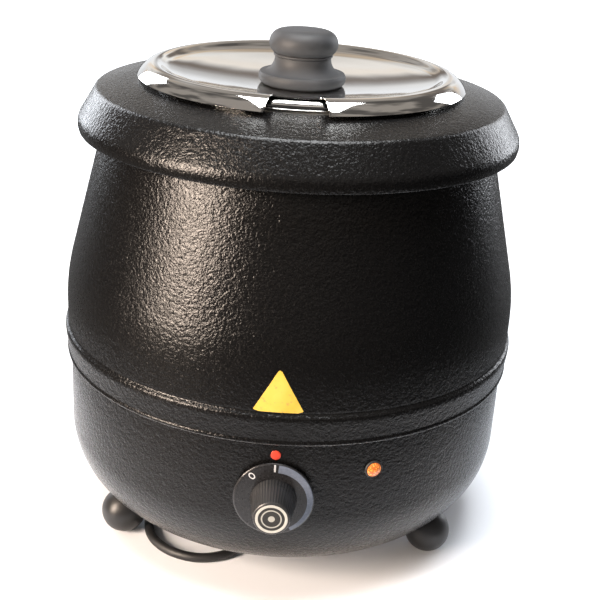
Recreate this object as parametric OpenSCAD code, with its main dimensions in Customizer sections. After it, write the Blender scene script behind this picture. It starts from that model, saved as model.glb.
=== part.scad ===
// Electric soup kettle: a lift-out pot in a water well, inside a barrel-shaped
// steel housing on three ball feet. Millimetres, +Z up, origin on the kettle's
// axis at the floor. The control knob faces -Y.

/* [Housing] */
// Radius of the bowl-shaped base where its wall is upright
base_r = 166; // [165.8:0.1:166.2]
// Radius of the round that joins the base's wall to its flat bottom
base_round = 62; // [61:0.5:63]
// Height of the base's flat bottom above the floor
base_z = 18; // [18:0.1:18.4]
// Height of the joggled skirt's lower edge
belt_z = 135.6; // [134:0.2:137]
// Radius of the barrel above the belt
barrel_r = 168; // [168:0.1:168.4]
// Lean of the barrel's shoulder from upright, in degrees
shoulder_lean = 13.8; // [13:0.1:14.5]
// Thickness of the housing's steel sheet
sheet = 1.2; // [1:0.1:1.3]

/* [Collar] */
// Radius of the collar's flared lower edge
collar_r = 158.2; // [156:0.2:160]
// Radius of the opening in the collar's deck
deck_hole_r = 104.8; // [104.7:0.1:105.2]
// Height of the deck at its opening
deck_z = 338.3; // [338.1:0.1:338.6]
// Height of the deck at its outer edge
deck_edge_z = 332.8; // [332:0.2:333.4]

/* [Pot and lid] */
// Depth of the soup pot below its rolled rim
pot_depth = 237; // [220:1:239]
// Radius of the pot's rolled rim, at the middle of the roll
pot_rim_r = 100.6; // [100.5:0.1:100.8]
// Radius of the lid's rim
lid_r = 116.8; // [115:0.2:120]
// Width of the ladle notch where it meets the lid's crest
notch_w = 34; // [30:1:38]
// Radius of the lid knob's bulb
lid_knob_r = 24.5; // [23:0.5:26]

/* [Controls] */
// Height of the control knob's axis
knob_z = 95.5; // [92:0.5:98]
// Radius of the control knob's skirt
knob_skirt_r = 27; // [26:0.5:28]
// Angle of the pilot lamp around the kettle from the knob, in degrees
lamp_turn = 23; // [20:1:30]
// Height of the pilot lamp
lamp_z = 114; // [112:1:116]

/* [Feet] */
// Radius of each ball foot
foot_r = 16.8; // [16.6:0.1:17]
// Distance of each foot from the kettle's axis
foot_ring = 137; // [136.5:0.1:137.5]
// Angle of the two front feet from straight ahead, in degrees
foot_spread = 58; // [57:0.5:60]

/* [Hidden] */
$fn = 96;
eps = 0.05;

// Spun sheet metal: P is one face of the sheet as [radius, height] points, and the
// sheet lies on the left of the line's direction.
function unit(v) = v / norm(v);
function left(a, b) = let (d = unit(b - a)) [-d[1], d[0]];
function corner(P, i) =
    i == 0 ? left(P[0], P[1]) :
    i == len(P) - 1 ? left(P[i - 1], P[i]) :
    let (m = left(P[i - 1], P[i]) + left(P[i], P[i + 1])) m * 2 / (m * m);
function lining(P, t) = [for (i = [len(P) - 1:-1:0]) P[i] + t * corner(P, i)];
function arc(c, r, a0, a1, n) = [for (i = [0:n]) let (a = a0 + (a1 - a0) * i / n) c + r * [cos(a), sin(a)]];
module spun(P, t) rotate_extrude() polygon(concat(P, lining(P, t)));
module ring(r_in, r_out, z0, z1) translate([0, 0, z0]) difference() {
    cylinder(r = r_out, h = z1 - z0);
    translate([0, 0, -1]) cylinder(r = r_in, h = z1 - z0 + 2);
}
// Puts a child that is built along +Z at radius r, pointing outwards
module facing(turn, r, z) rotate([0, 0, turn]) translate([r, 0, z]) rotate([0, 90, 0]) children();
module hex_nut(across, bore, h) difference() {
    cylinder(d = across / cos(30), h = h, $fn = 6);
    translate([0, 0, -1]) cylinder(r = bore, h = h + 2);
}

// Base bowl
bowl_c = [base_r - base_round, base_z + base_round];
base_lip_r = 85;
base_top = 150;
base_line = concat(
    [[base_lip_r, base_z]],
    arc(bowl_c, base_round, -90, 0, 14),
    [[base_r, base_top]]
);
// Bowl angle and turn of the cord's gland, and its place and lean on the bowl
gland_angle = -35;
gland_turn = 90;
gland_hole = 6.2;
// Feet: turn of each, and the lean of its stud, which points at the bowl's centre
foot_turns = [-90 - foot_spread, -90 + foot_spread, 90];
foot_z = foot_r - 0.5;
foot_lean = atan2(bowl_c[1] - foot_z, bowl_c[0] - foot_ring) - 90;
// Centre of a foot's ball, with Z towards the bowl's centre
module at_foot(i) rotate([0, 0, foot_turns[i]]) translate([foot_ring, 0, foot_z])
    rotate([0, -foot_lean, 0]) children();
module at_gland() rotate([0, 0, gland_turn]) translate([bowl_c[0], 0, bowl_c[1]])
    rotate([0, 90 - gland_angle, 0]) translate([0, 0, base_round]) children();

dot_z = 127.4;
lamp_angle = -90 + lamp_turn;
thermo_screw_x = 14;
plate_r = 93;
plate_screw_ring = 89;
rod_ring = 45;
rod_turns = [30, 150, 270];

module base_shell() color("#1b1b1d") difference() {
    spun(base_line, sheet);
    for (i = [0:2]) at_foot(i) cylinder(r = 3.3, h = 40);
    for (a = [45:90:315]) rotate([0, 0, a]) translate([plate_screw_ring, 0, 0]) cylinder(r = 1.6, h = 30);
    facing(-90, base_r - 10, knob_z) cylinder(r = 5.2, h = 20);
    for (s = [-1, 1]) translate([s * thermo_screw_x, -base_r + 10, knob_z])
        rotate([90, 0, 0]) cylinder(r = 2.2, h = 20);
    facing(-90, base_r - 10, dot_z) cylinder(r = 1.6, h = 20);
    facing(lamp_angle, base_r - 10, lamp_z) cylinder(r = 5.2, h = 20);
    at_gland() translate([0, 0, -8]) cylinder(r = gland_hole, h = 16);
}

// Z-shaped ring welded inside: the base hangs on its lower band, the barrel on its upper
module joint_ring() color("#8d8f91") spun(
    [[base_r - sheet, 122], [base_r - sheet, belt_top - 1], [barrel_r - sheet, belt_top + 1],
     [barrel_r - sheet, 172]], 1);

// Barrel: belt bead, upright stretch, rounded break and straight shoulder
belt_top = 159.5;
break_z = 175;
break_round = 150;
shoulder_foot = [barrel_r - break_round, break_z] + break_round * [cos(shoulder_lean), sin(shoulder_lean)];
barrel_top = 329;
barrel_side = concat(
    [[barrel_r, belt_top]],
    arc([barrel_r - break_round, break_z], break_round, 0, shoulder_lean, 5),
    [shoulder_foot + [-tan(shoulder_lean), 1] * (barrel_top - shoulder_foot[1])]
);
module upper_shell() color("#1b1b1d") rotate_extrude() polygon(concat(
    [[base_r + 0.5, belt_z], [barrel_r + 0.2, belt_z]],
    [[barrel_r + 1.7, belt_z + 15], [barrel_r + 2, belt_z + 18.4], [barrel_r + 1.6, belt_z + 21]],
    barrel_side,
    lining(barrel_side, sheet),
    [[base_r + 0.5, belt_top - 1.5]]
));

// Collar: flared skirt, sloping deck, and a sunk ledge that carries the well
ledge_z = 336.8;
module collar() color("#1b1b1d") spun(concat(
    [[collar_r - 2.6, 301.6], [collar_r - 0.9, 302.2]],
    arc([collar_r - 12, 307], 12, -12, 33, 5),
    [[146.4, deck_edge_z - 3.2]],
    arc([142.6, deck_edge_z - 5.2], 4.6, 28, 72, 3),
    [[118, deck_z - 0.1], [deck_hole_r + 1, deck_z], [deck_hole_r, deck_z - 1], [deck_hole_r, ledge_z],
     [100.6, ledge_z]]
), 1.2);
module collar_gasket() color("#c9c6bd") ring(100.9, deck_hole_r - 0.4, ledge_z, ledge_z + 0.6);

// Water well, hung by its flange in the collar
well_top = ledge_z + 1.6;
well_r = 99.3;
well_bottom = 93;
module water_well() color("#c8cacc") spun(concat(
    [[deck_hole_r - 0.6, well_top], [well_r, well_top]],
    arc([well_r - 10, well_bottom + 10], 10, 0, -90, 5),
    [[0, well_bottom]]
), 1);

// Soup pot: rolled rim and a slightly tapered wall
rim_roll = 3.4;
rim_z = well_top + 0.4 + rim_roll;
pot_wall_r = pot_rim_r - rim_roll + 0.3;
pot_foot_r = 92;
pot_bottom = rim_z - pot_depth;
module soup_pot() color("#d4d6d8") union() {
    spun(concat(
        [[pot_wall_r, rim_z], [pot_wall_r - 0.2, rim_z - 6]],
        arc([pot_foot_r - 12, pot_bottom + 12], 12, 0, -90, 6),
        [[0, pot_bottom]]
    ), 0.8);
    rotate_extrude() translate([pot_rim_r, rim_z]) circle(r = rim_roll, $fn = 32);
}

// Lid: flange sloping up to a crest, then a shallow dish with a flat centre
lid_z = 336;
crest = [106.2, 348.8];
lid_rim_z = 340.3;
lid_t = 0.8;
notch_in = 100;
module notch_plan() polygon(concat(
    [[-notch_w / 2 - 6, -lid_r - 5], [-notch_w / 2 - 6, -lid_r + 0.2]],
    [[-notch_w / 2 - 2.6, -lid_r + 4], [-notch_w / 2 - 0.6, -lid_r + 10]],
    arc([-notch_w / 2 + 3, -notch_in - 3], 3, 180, 90, 5),
    arc([notch_w / 2 - 3, -notch_in - 3], 3, 90, 0, 5),
    [[notch_w / 2 + 0.6, -lid_r + 10], [notch_w / 2 + 2.6, -lid_r + 4]],
    [[notch_w / 2 + 6, -lid_r + 0.2], [notch_w / 2 + 6, -lid_r - 5]]
));
module lid_plate() color("#d9dbdd") difference() {
    spun([[lid_r, lid_rim_z], [lid_r - 3.2, lid_rim_z + 3.9], [lid_r - 6.6, lid_rim_z + 6.9], crest,
          [103.2, 348.9], [100.8, 348], [96, 344.9], [88, 342.9], [70, 339.9], [50, 337.5],
          [30, lid_z], [0, lid_z]], lid_t);
    translate([0, 0, lid_rim_z - 5]) linear_extrude(20) notch_plan();
    translate([0, 0, lid_z - 5]) cylinder(r = 2.6, h = 10);
}
neck_r = 20;
knob_top = 374.2;
module lid_knob() color("#3a3a3e") difference() {
    rotate_extrude() polygon(concat(
        [[0, lid_z]],
        arc([26, lid_z + 5.3], 5.3, -90, 35, 6),
        arc([neck_r + 11.3, lid_z + 19.1], 11.3, -108, -198, 6),
        arc([lid_knob_r - 9, knob_top - 9], 9, -50, 78, 7),
        [[0, knob_top]]
    ));
    translate([0, 0, lid_z - 1]) cylinder(r = 2.5, h = 19);
}
module lid_knob_washer() color("#b9bbbd") ring(2.7, 8, lid_z - lid_t - 1, lid_z - lid_t);
module lid_knob_screw() color("#b9bbbd") translate([0, 0, lid_z - lid_t - 3.4]) difference() {
    union() {
        cylinder(r = 4.6, h = 2.4);
        cylinder(r = 2.45, h = 20);
    }
    translate([-4, -0.5, -1]) cube([8, 1, 2]);
}

// Feet: balls with a spot-faced seat against the bowl, held by studs and nuts
seat = norm([foot_ring, foot_z] - bowl_c) - base_round;
module foot(i) color("#161617") difference() {
    at_foot(i) sphere(r = foot_r);
    translate([-200, -200, -20]) cube([400, 400, 20]);
    rotate([0, 0, foot_turns[i]]) rotate_extrude() translate(bowl_c) circle(r = base_round + eps);
    at_foot(i) translate([0, 0, -6]) cylinder(r = 3, h = 40);
}
module foot_studs() color("#b9bbbd") for (i = [0:2]) at_foot(i) translate([0, 0, -5.9])
    cylinder(r = 2.95, h = seat + sheet + 14);
module foot_nuts() color("#b9bbbd") for (i = [0:2]) at_foot(i)
    translate([0, 0, seat + sheet + 0.6]) hex_nut(10, 3, 5);

// Bottom plate: a vented disc under the bowl's lip
plate_t = 1.2;
module bottom_plate() color("#a9abad") difference() {
    translate([0, 0, base_z - plate_t]) cylinder(r = plate_r, h = plate_t);
    for (t = rod_turns) rotate([0, 0, t]) translate([rod_ring, 0, 0]) cylinder(r = 3.3, h = 30);
    for (a = [45:90:315]) rotate([0, 0, a]) translate([plate_screw_ring, 0, 0]) cylinder(r = 1.8, h = 30);
    for (a = [0:30:330]) rotate([0, 0, a]) translate([62, -2, 0]) cube([16, 4, 30]);
    translate([0, -20, 0]) cylinder(r = 2.2, h = 30);
}
module plate_screws() color("#b9bbbd") for (a = [45:90:315]) rotate([0, 0, a])
    translate([plate_screw_ring, 0, base_z - plate_t]) {
        translate([0, 0, -2]) cylinder(r = 3.4, h = 2);
        cylinder(r = 1.5, h = 9);
    }
rod_top = well_bottom - 1;
rod_foot = 10.5;
module tie_rods() color("#b9bbbd") for (t = rod_turns) rotate([0, 0, t])
    translate([rod_ring, 0, rod_foot]) cylinder(r = 3, h = rod_top - rod_foot);
module base_nuts() color("#b9bbbd") for (t = rod_turns) rotate([0, 0, t])
    translate([rod_ring, 0, base_z - plate_t - 5]) hex_nut(10, 3, 5);

// Heater: a tubular ring pressed up against the well by a plate
heater_r = 4;
heater_ring = 70;
clamp_z = rod_top - 2 * heater_r;
module heating_element() color("#8a6f5a") {
    rotate([0, 0, -75]) rotate_extrude(angle = 330) translate([heater_ring, clamp_z + heater_r])
        circle(r = heater_r, $fn = 24);
    for (a = [-75, -105]) rotate([0, 0, a]) translate([heater_ring, 0, clamp_z - 22]) {
        cylinder(r = heater_r, h = 22 + heater_r);
        translate([-0.4, -3, -9]) cube([0.8, 6, 10]);
    }
}
module element_clamp_plate() color("#a9abad") difference() {
    ring(18, 84, clamp_z - 1.5, clamp_z);
    for (t = rod_turns) rotate([0, 0, t]) translate([rod_ring, 0, 0]) cylinder(r = 3.3, h = 100);
    for (a = [-75, -105]) rotate([0, 0, a]) translate([heater_ring, 0, 50]) cylinder(r = 5, h = 50);
    translate([bulb_l / 2 + 14, 0, 50]) cylinder(r = 4, h = 50);
}
module clamp_nuts() color("#b9bbbd") for (t = rod_turns) rotate([0, 0, t])
    translate([rod_ring, 0, clamp_z - 6.5]) hex_nut(10, 3, 5);
module thermal_cutout() color("#2b2b2e") translate([0, 48, clamp_z - 1.5]) mirror([0, 0, 1]) {
    cylinder(r = 8, h = 7);
    for (s = [-1, 1]) translate([s * 5 - 0.4, -3, 6]) cube([0.8, 6, 10]);
}

// Thermostat: body behind the shell, bush through it, bulb under the well
thermo_back = 133;
thermo_front = 162;
module thermostat_body() color("#e7e2d4") difference() {
    union() {
        translate([-17, -thermo_front, knob_z - 17]) cube([34, thermo_front - thermo_back, 34]);
        facing(-90, thermo_front, knob_z) cylinder(r = 5, h = 6.4);
        for (x = [-10, 6]) translate([x, -thermo_back, knob_z - 12]) cube([6, 8, 0.8]);
    }
    facing(-90, thermo_back + 9, knob_z) cylinder(r = 3.05, h = 30);
    for (s = [-1, 1]) facing_screw(s) translate([0, 0, -12]) cylinder(r = 1.95, h = 20);
}
module facing_screw(s) translate([s * thermo_screw_x, -base_r + 0.3, knob_z]) rotate([90, 0, 0]) children();
module thermostat_screws() color("#b9bbbd") for (s = [-1, 1]) facing_screw(s) {
    cylinder(r = 3.4, h = 0.9);
    translate([0, 0, -11]) cylinder(r = 1.9, h = 11.4);
}
bulb_r = 3;
bulb_l = 80;
module sensing_bulb() color("#b87333") translate([-bulb_l / 2, 0, rod_top - bulb_r]) rotate([0, 90, 0])
    cylinder(r = bulb_r, h = bulb_l);
module bulb_clips() color("#b9bbbd") for (x = [-22, 18]) difference() {
    translate([x, -bulb_r - 1.2, rod_top - 2 * bulb_r - 1]) cube([4, 2 * bulb_r + 2.4, 2 * bulb_r + 1]);
    translate([x - 1, 0, rod_top - bulb_r]) rotate([0, 90, 0]) cylinder(r = bulb_r + eps, h = 6);
}

// Control knob: skirt with the scale, tapered grip, cap, spring clip, spindle
skirt_back = base_r + 1.6;
skirt_t = 1.8;
grip_back = skirt_back + skirt_t;
knob_face = 192;
grip_l = knob_face - grip_back;
module on_knob(r) facing(-90, r, knob_z) children();
module knob_skirt() color("#2a2a2e") on_knob(skirt_back) difference() {
    cylinder(r = knob_skirt_r, h = skirt_t);
    translate([0, 0, -1]) cylinder(r = 8, h = skirt_t + 2);
}
module knob_grip() color("#19191b") on_knob(grip_back) difference() {
    rotate_extrude() polygon([[0, 0], [15.6, 0], [15, 3], [12.4, grip_l - 0.8], [11.6, grip_l], [0, grip_l]]);
    difference() {
        translate([0, 0, -1]) cylinder(r = 9.6, h = grip_l - 4);
        translate([0, 0, -2]) cylinder(r = 5.2, h = grip_l);
    }
    translate([0, 0, -1]) cylinder(r = 3.05, h = grip_l - 5);
    translate([0, 0, grip_l - 0.8]) cylinder(r = 10.8, h = 1);
}
module knob_cap() color("#222225") on_knob(knob_face - 0.8) cylinder(r = 10.75, h = 1.2);
module knob_spring() color("#b9bbbd") on_knob(grip_back + 4) difference() {
    cylinder(r = 6.1, h = 4);
    translate([0, 0, -1]) cylinder(r = 5.25, h = 6);
    translate([0, -1.5, -1]) cube([8, 3, 6]);
}
module thermostat_spindle() color("#c8b068") on_knob(thermo_back + 12)
    cylinder(r = 3, h = knob_face - 6 - thermo_back - 12);

module index_dot() color("#c8402c") facing(-90, base_r, dot_z) {
    translate([0, 0, 0.1 - sheet]) cylinder(r = 1.5, h = sheet);
    cylinder(r = 3.4, h = 0.9);
}
module lamp_lens() color("#e8762c") facing(lamp_angle, base_r + 1.2, lamp_z) intersection() {
    cylinder(r = 5, h = 4);
    translate([0, 0, -4.4]) sphere(r = 7);
}
module lamp_body() color("#26262a") facing(lamp_angle, base_r, lamp_z) difference() {
    union() {
        cylinder(r = 6.3, h = 1.6);
        translate([0, 0, -24]) cylinder(r = 4.8, h = 24.5);
    }
    translate([0, 0, 1.2]) cylinder(r = 5.05, h = 2);
}
module lamp_nut() color("#26262a") facing(lamp_angle, base_r - sheet - 5, lamp_z) hex_nut(14, 4.8, 4);

// Plain triangular sticker, curved with the barrel
label_w = 34;
label_z = [158.8, 190.8];
module triangle_label() color("#d9a514") intersection() {
    rotate_extrude() polygon(concat(barrel_side, lining(barrel_side, -0.3)));
    translate([0, -140, 0]) rotate([90, 0, 0]) linear_extrude(40)
        polygon([[-label_w / 2, label_z[0] + 1], [label_w / 2, label_z[0] + 1], [0, label_z[1]]]);
}

// Swept tubes: a smooth curve through hand-set points
function spline(a, b, c, d, t) =
    0.5 * (2 * b + (c - a) * t + (2 * a - 5 * b + 4 * c - d) * t * t + (3 * b - a - 3 * c + d) * t * t * t);
function smooth(P, n) = concat(
    [for (i = [0:len(P) - 2]) for (k = [0:n - 1])
        spline(P[max(i - 1, 0)], P[i], P[i + 1], P[min(i + 2, len(P) - 1)], k / n)],
    [P[len(P) - 1]]);
function heading(Q, i) = unit(Q[min(i + 1, len(Q) - 1)] - Q[max(i - 1, 0)]);
module tube(P, r, sides, n) {
    Q = smooth(P, n);
    m = len(Q);
    points = [for (i = [0:m - 1])
        let (d = heading(Q, i), s = unit(cross(d, [0, 0, 1])), u = cross(s, d))
        for (k = [0:sides - 1]) let (a = 360 * k / sides) Q[i] + r * (cos(a) * s + sin(a) * u)];
    walls = [for (i = [0:m - 2]) for (k = [0:sides - 1])
        let (a = i * sides + k, b = i * sides + (k + 1) % sides) [a, a + sides, b + sides, b]];
    caps = [[for (k = [0:sides - 1]) k], [for (k = [sides - 1:-1:0]) (m - 1) * sides + k]];
    polyhedron(points, concat(walls, caps), convexity = 10);
}
module capillary_tube() color("#b87333") tube([[16, -132, 86], [60, -122, 80], [104, -84, 74],
    [100, -40, 70], [86, -6, 69], [66, 0, 72], [56, 0, 79], [51, 0, 86], [bulb_l / 2, 0, rod_top - bulb_r]],
    0.9, 6, 3);

// Mains side: terminal block on the bowl's lip, earth stud, internal wires
wire_r = 1.4;
module terminal_block() color("#e7e2d4") translate([-17, base_lip_r + 0.5, base_z + sheet]) difference() {
    cube([34, 16, 14]);
    for (x = [5, 17, 29]) translate([x, 8, 4]) cylinder(r = 2, h = 12);
}
module earth_stud() color("#c8b068") translate([0, -20, base_z - plate_t - 2]) {
    cylinder(r = 2.1, h = 18);
    translate([0, 0, plate_t + 2]) cylinder(d = 8, h = 3, $fn = 6);
    cylinder(r = 4, h = 2);
}
module wiring_live() color("#7a4a2a") {
    tube([[-12, 85, 27], [-26, 50, 30], [-60, 0, 30], [-58, -60, 34], [-32, -106, 50], [-9, -123, 80]],
        wire_r, 6, 3);
    tube([[10, -123, 80], [12, -106, 66], [-2, -88, 52], [-17, -69, 50]], wire_r, 6, 3);
}
module wiring_neutral() color("#2d5fa8") tube([[12, 85, 27], [28, 56, 29], [62, 0, 30],
    [54, -44, 34], [30, -66, 42], [18, -67, 50]], wire_r, 6, 3);
module wiring_earth() color("#5f9a3a") tube([[0, 85, 27], [-10, 52, 28], [-8, 10, 26], [0, -15, 25]],
    wire_r, 6, 3);

// Power cord: out of the gland at the back, under the kettle, a loop that shows at the
// front left, back under it, then a coil behind, and the plug beside the coil
cord_r = 3.5;
gland_len = 30;
gland_tip = bowl_c + (base_round + gland_len) * [cos(gland_angle), sin(gland_angle)];
cord_out = [
    [0, gland_tip[0], gland_tip[1]], [0, 188, 20.9], [-2, 200, 12.5], [-6, 211, 6.6], [-14, 223, 4.1],
    [-25, 230, 3.7], [-39, 232, 3.6], [-52, 228, 3.6], [-62, 218, 3.6], [-67, 205, 3.6],
    [-69, 185, 3.6], [-69, 140, 3.6], [-74, 90, 3.6], [-84, 40, 3.6], [-93, -10, 3.6], [-98, -50, 3.6],
    [-97, -74, 3.6], [-90, -92, 3.6], [-76, -105, 3.6], [-58, -111, 3.6], [-41, -108, 3.6],
    [-28, -98, 3.6], [-16, -78, 3.6], [-6, -40, 3.6], [6, 10, 3.6], [20, 60, 3.6], [28, 88, 3.6],
    [32, 112, 3.6], [33, 130, 3.6], [37, 146, 3.6], [49, 158, 3.6], [65, 162, 3.6]
];
// The coil: two flat spirals, one on the other, a cord's diameter apart
coil_c = [65, 206];
coil_out = 44;
coil_in = 30;
coil_h = 14.2;
cord_in = [
    [65, 162, 10.6], [83, 161.5, 9.8], [101, 162.5, 8.2], [117, 168, 7.8], [129, 181, 10.8],
    [133, 197, 16], [133, 210, 18.5]
];
plug_foot = cord_in[len(cord_in) - 1];
module cord_gland() color("#161617") at_gland() difference() {
    union() {
        translate([0, 0, -9]) cylinder(r = 6, h = 10);
        cylinder(d = 19, h = 5, $fn = 6);
        translate([0, 0, 5]) cylinder(r1 = 7.5, r2 = 4.6, h = gland_len - 5);
    }
    translate([0, 0, -10]) cylinder(r = cord_r + 0.05, h = 32);
}
module gland_nut() color("#161617") at_gland() translate([0, 0, -sheet - 5.6]) hex_nut(17, 6, 4.5);
module power_cord() color("#121213") {
    tube(cord_out, cord_r, 8, 2);
    tube(cord_in, cord_r, 8, 3);
}
module cord_coil() color("#121213") translate([coil_c[0], coil_c[1], 0])
    ring(coil_in - cord_r, coil_out + cord_r, 0, coil_h);
module coil_tie() color("#2c2c2f") translate([coil_c[0] - 4, coil_c[1] + coil_in - cord_r - 1, 0])
    difference() {
        cube([8, coil_out - coil_in + 2 * cord_r + 2, coil_h + 1]);
        translate([-1, 1, -1]) cube([10, coil_out - coil_in + 2 * cord_r, coil_h + 1]);
    }
module power_plug() color("#161617") translate(plug_foot) rotate([-90, 0, 0]) {
    cylinder(r1 = 5.5, r2 = 7, h = 14);
    translate([0, 0, 14]) cylinder(r1 = 9, r2 = 18.4, h = 14);
    translate([0, 0, 28]) cylinder(r = 18.4, h = 18);
}
module plug_pins() color("#d0d2d4") translate(plug_foot) rotate([-90, 0, 0]) for (s = [-1, 1])
    translate([s * 9.5, 0, 46]) {
        cylinder(r = 2.4, h = 17);
        translate([0, 0, 17]) cylinder(r1 = 2.4, r2 = 1.4, h = 2);
    }

base_shell();
joint_ring();
upper_shell();
collar();
collar_gasket();
water_well();
soup_pot();
lid_plate();
lid_knob();
lid_knob_washer();
lid_knob_screw();
foot(0);  // foot_front_left
foot(1);  // foot_front_right
foot(2);  // foot_rear
foot_studs();
foot_nuts();
bottom_plate();
plate_screws();
tie_rods();
base_nuts();
clamp_nuts();
heating_element();
element_clamp_plate();
thermal_cutout();
thermostat_body();
thermostat_screws();
sensing_bulb();
bulb_clips();
capillary_tube();
knob_skirt();
knob_grip();
knob_cap();
knob_spring();
thermostat_spindle();
index_dot();
lamp_lens();
lamp_body();
lamp_nut();
triangle_label();
terminal_block();
earth_stud();
wiring_live();
wiring_neutral();
wiring_earth();
cord_gland();
gland_nut();
power_cord();
cord_coil();
coil_tie();
power_plug();
plug_pins();
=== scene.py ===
import bmesh
import bpy
import math
from mathutils import Matrix, Vector


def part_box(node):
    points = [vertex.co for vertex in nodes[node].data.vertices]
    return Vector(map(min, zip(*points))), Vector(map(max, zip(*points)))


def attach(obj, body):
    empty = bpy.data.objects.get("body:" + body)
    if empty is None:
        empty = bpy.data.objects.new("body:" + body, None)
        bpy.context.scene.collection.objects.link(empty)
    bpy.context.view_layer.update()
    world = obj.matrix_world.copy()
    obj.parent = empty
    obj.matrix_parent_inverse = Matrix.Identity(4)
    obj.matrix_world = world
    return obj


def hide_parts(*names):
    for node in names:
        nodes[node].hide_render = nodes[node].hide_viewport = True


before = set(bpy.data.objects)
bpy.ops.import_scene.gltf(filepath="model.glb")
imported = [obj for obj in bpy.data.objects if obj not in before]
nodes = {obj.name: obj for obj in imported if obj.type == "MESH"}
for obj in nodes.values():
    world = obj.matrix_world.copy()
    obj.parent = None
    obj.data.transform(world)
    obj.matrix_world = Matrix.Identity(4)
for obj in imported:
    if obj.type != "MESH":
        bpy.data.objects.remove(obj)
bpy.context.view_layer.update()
mm = 0.001
print("frame loaded,", len(nodes), "nodes")


# selecting and shaping

def deselectAll():
    if bpy.context.mode != "OBJECT":
        bpy.ops.object.mode_set(mode="OBJECT")
    bpy.ops.object.select_all(action="DESELECT")


def makeActive(obj):
    deselectAll()
    obj.select_set(True)
    bpy.context.view_layer.objects.active = obj


def editMode(obj, kind="VERT"):
    makeActive(obj)
    bpy.ops.object.mode_set(mode="EDIT")
    bpy.ops.mesh.select_mode(type=kind)


def objectMode():
    bpy.ops.object.mode_set(mode="OBJECT")


# selects what passes the test in edit mode: a test of each vertex's place, or of a face
def pickVerts(obj, test):
    bpy.ops.mesh.select_mode(type="VERT")
    bpy.ops.mesh.select_all(action="DESELECT")
    bm = bmesh.from_edit_mesh(obj.data)
    for v in bm.verts:
        v.select_set(bool(test(v.co)))
    bm.select_flush(True)
    bmesh.update_edit_mesh(obj.data)


def pickFaces(obj, test):
    bpy.ops.mesh.select_mode(type="FACE")
    bpy.ops.mesh.select_all(action="DESELECT")
    bm = bmesh.from_edit_mesh(obj.data)
    for f in bm.faces:
        f.select_set(bool(test(f)))
    bmesh.update_edit_mesh(obj.data)


def applyModifier(obj, kind, **settings):
    makeActive(obj)
    modifier = obj.modifiers.new(kind.title(), kind)
    for key, value in settings.items():
        setattr(modifier, key, value)
    bpy.ops.object.modifier_apply(modifier=modifier.name)


def cutAway(obj, cutter, operation="DIFFERENCE"):
    applyModifier(obj, "BOOLEAN", object=cutter, operation=operation, solver="EXACT")
    bpy.data.objects.remove(cutter)


# corners of an outline as (radius, height, round): a round of 0 leaves the corner sharp
def rounded(corners, closed=True, stepsPerCorner=5):
    line = []
    count = len(corners)
    for i, corner in enumerate(corners):
        here = Vector(corner[:2])
        size = corner[2] if len(corner) > 2 else 0
        if size == 0 or (not closed and i in (0, count - 1)):
            line.append(here)
            continue
        back = Vector(corners[i - 1][:2]) - here
        ahead = Vector(corners[(i + 1) % count][:2]) - here
        cut = min(size, back.length * 0.49, ahead.length * 0.49)
        a, b = here + back.normalized() * cut, here + ahead.normalized() * cut
        for k in range(stepsPerCorner + 1):
            t = k / stepsPerCorner
            line.append(a * (1 - t) ** 2 + here * 2 * t * (1 - t) + b * t * t)
    return [(p.x, p.y) for p in line]


def arc(centre, radius, start, end, steps):
    turns = [math.radians(start + (end - start) * i / steps) for i in range(steps + 1)]
    return [(centre[0] + radius * math.cos(t), centre[1] + radius * math.sin(t)) for t in turns]


# the other face of a sheet: the line moved to its left by the sheet's thickness, and turned back
def lining(line, thickness):
    moved = []
    for i, p in enumerate(line):
        before = Vector(line[max(i - 1, 0)])
        after = Vector(line[min(i + 1, len(line) - 1)])
        way = (after - before).normalized()
        moved.append((p[0] - way.y * thickness, p[1] + way.x * thickness))
    return moved[::-1]


# spins an outline of (radius, height) in millimetres round the kettle's axis
def lathe(name, line, closed=True, steps=192, centre=(0, 0, 0)):
    deselectAll()
    bpy.ops.mesh.primitive_plane_add(size=mm, location=(0, 0, 0))
    obj = bpy.context.object
    obj.name = obj.data.name = name
    editMode(obj)
    bpy.ops.mesh.select_all(action="SELECT")
    bpy.ops.mesh.merge(type="CENTER")
    bpy.ops.transform.translate(value=(line[0][0] * mm, 0, line[0][1] * mm))
    for a, b in zip(line, line[1:] + line[:1] if closed else line[1:]):
        step = ((b[0] - a[0]) * mm, 0, (b[1] - a[1]) * mm)
        bpy.ops.mesh.extrude_region_move(TRANSFORM_OT_translate={"value": step})
    bpy.ops.mesh.select_all(action="SELECT")
    bpy.ops.mesh.remove_doubles(threshold=1e-6)
    bpy.ops.mesh.select_all(action="SELECT")
    bpy.ops.mesh.spin(steps=steps, angle=2 * math.pi, center=(0, 0, 0), axis=(0, 0, 1))
    bpy.ops.mesh.select_all(action="SELECT")
    bpy.ops.mesh.remove_doubles(threshold=2e-6)
    bpy.ops.mesh.normals_make_consistent(inside=False)
    objectMode()
    return obj


# puts a piece built along +Z, in millimetres about its own foot, onto the kettle
def place(obj, matrix):
    makeActive(obj)
    obj.matrix_world = matrix
    bpy.ops.object.transform_apply(location=True, rotation=True, scale=True)


def facing(turn, radius, height):     # +Z of the piece looks outwards at that turn
    return (Matrix.Rotation(math.radians(turn), 4, "Z") @ Matrix.Translation((radius * mm, 0, height * mm))
            @ Matrix.Rotation(math.radians(90), 4, "Y"))


def finishPiece(obj, body, material, replaced=(), smoothAngle=30):
    if obj.type == "MESH":
        makeActive(obj)
        bpy.ops.object.shade_smooth_by_angle(angle=math.radians(smoothAngle))
    obj.data.materials.clear()
    obj.data.materials.append(material)
    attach(obj, body)
    if replaced:
        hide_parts(*replaced)
    return obj


# the camera stands in front of the knob, a little above the lid

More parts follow.
